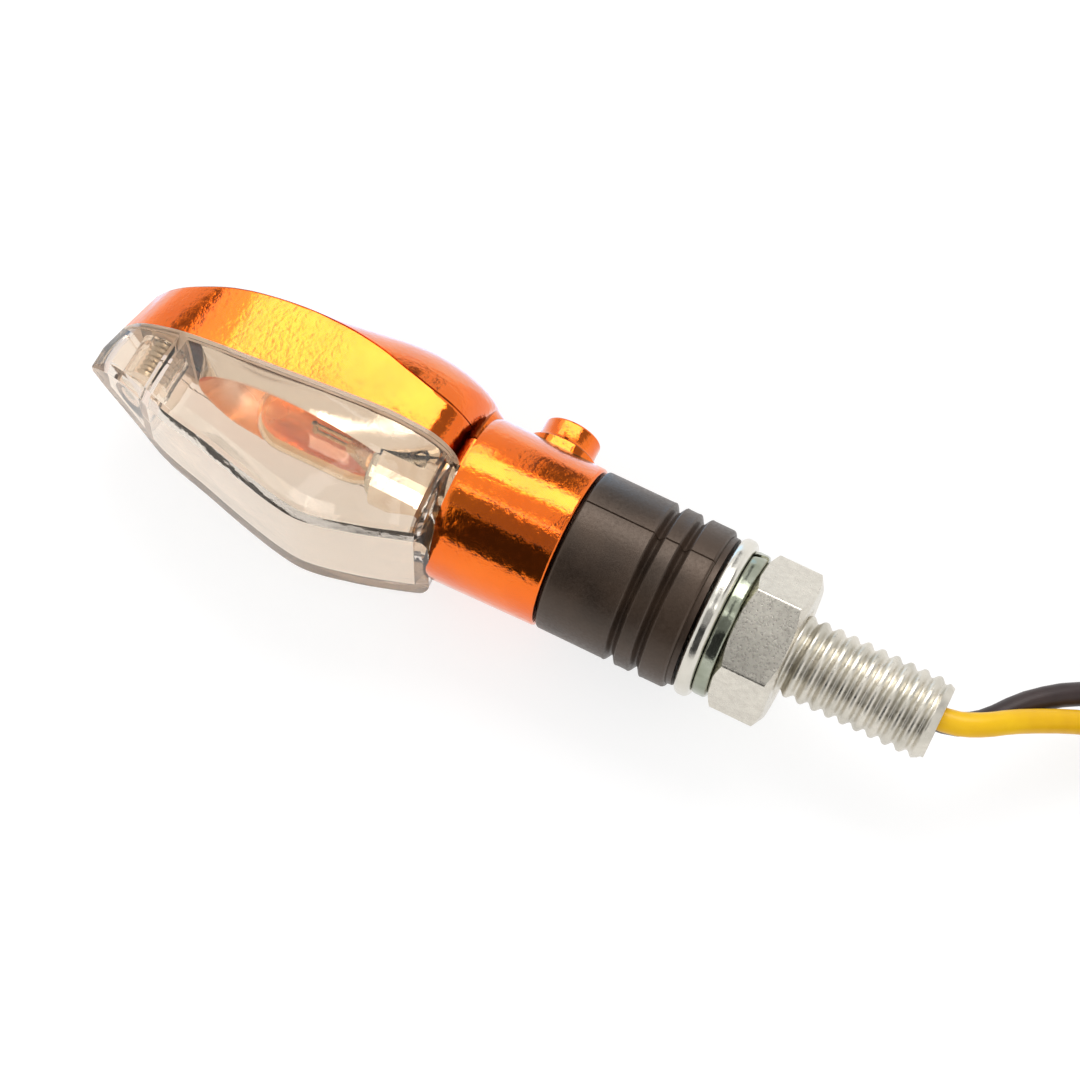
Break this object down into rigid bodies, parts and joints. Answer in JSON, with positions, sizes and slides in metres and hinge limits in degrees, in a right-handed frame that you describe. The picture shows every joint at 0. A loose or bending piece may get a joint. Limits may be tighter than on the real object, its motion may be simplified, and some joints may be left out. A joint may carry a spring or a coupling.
{
  "type": "turn signal indicator",
  "caption": "Slim motorcycle turn signal: orange plated teardrop head with clear lens on a flexible rubber stem, hollow threaded stud, nut, washers and two leads.",
  "frame": {"origin": "centre of the rubber stem's seat face, where a bracket closes on it", "axes": "+X along the stem and the threaded stud to its free end; the lens faces -Y; +Z across the head, up as it lies"},
  "size_m": [0.1987, 0.0357, 0.0252],
  "materials": {
    "orange_chrome": "orange tinted bright plating over a moulded plastic housing",
    "clear_lens": "clear, polished",
    "reflector_plate": "vacuum plated, mirror bright",
    "amber_glass": "amber coated glass",
    "rubber": "moulded, satin",
    "zinc_plate": "bright zinc plated steel",
    "steel_wire": "drawn wire",
    "brass": "plain",
    "nickelled_brass": "nickel plated",
    "seal_rubber": "matt foam rubber",
    "insulating_board": "pressed paper board",
    "yellow_sheath": "smooth vinyl sheath",
    "black_sheath": "smooth vinyl sheath",
    "nylon": "natural nylon"
  },
  "bodies": {
    "stud": {"stud": "zinc_plate", "lead_yellow": "yellow_sheath", "lead_black": "black_sheath", "lead_coil": "black_sheath", "coil_tie": "nylon", "tail_yellow": "yellow_sheath", "tail_black": "black_sheath", "bullet_yellow": "brass", "bullet_black": "brass"},
    "stem": {"rubber_stem": "rubber", "inner_lead_yellow": "yellow_sheath", "inner_lead_black": "black_sheath"},
    "head": {"housing": "orange_chrome", "lens": "clear_lens", "lens_seal": "seal_rubber", "reflector": "reflector_plate", "bulb_glass": "amber_glass", "bulb_filament": "steel_wire", "bulb_cap": "nickelled_brass", "bulb_socket": "zinc_plate", "contact_plate": "brass", "contact_spring": "steel_wire", "insulator_disc": "insulating_board", "lens_screw": "zinc_plate", "clamp_screw": "zinc_plate", "stem_insert": "zinc_plate"},
    "washers": {"flat_washer": "zinc_plate", "spring_washer": "zinc_plate"},
    "nut": {"hex_nut": "zinc_plate"}
  },
  "joints": [
    {"name": "stem_sway", "type": "hinge", "parent": "stud", "child": "stem", "pos_m": [-0.00619, 0, 0], "axis": [0, 0, 1], "range_deg": [-15, 15], "stiffness_Nm_per_rad": 3, "deforming": ["rubber_stem", "inner_lead_yellow", "inner_lead_black"]},
    {"name": "stem_nod", "type": "hinge", "parent": "stem", "child": "head", "pos_m": [-0.01239, 0, 0], "axis": [0, 1, 0], "range_deg": [-15, 15], "stiffness_Nm_per_rad": 3, "deforming": ["rubber_stem", "inner_lead_yellow", "inner_lead_black"]},
    {"name": "nut_travel", "type": "slide", "parent": "stud", "child": "washers", "axis": [1, 0, 0], "range_m": [0, 0.012]},
    {"name": "nut_spin", "type": "hinge", "parent": "washers", "child": "nut", "pos_m": [0.005, 0, 0], "axis": [1, 0, 0], "range_deg": [0, 2401]}
  ],
  "couplings": [
    {"joint": "nut_spin", "follows": "nut_travel", "rad_per_m": 3490.7}
  ]
}
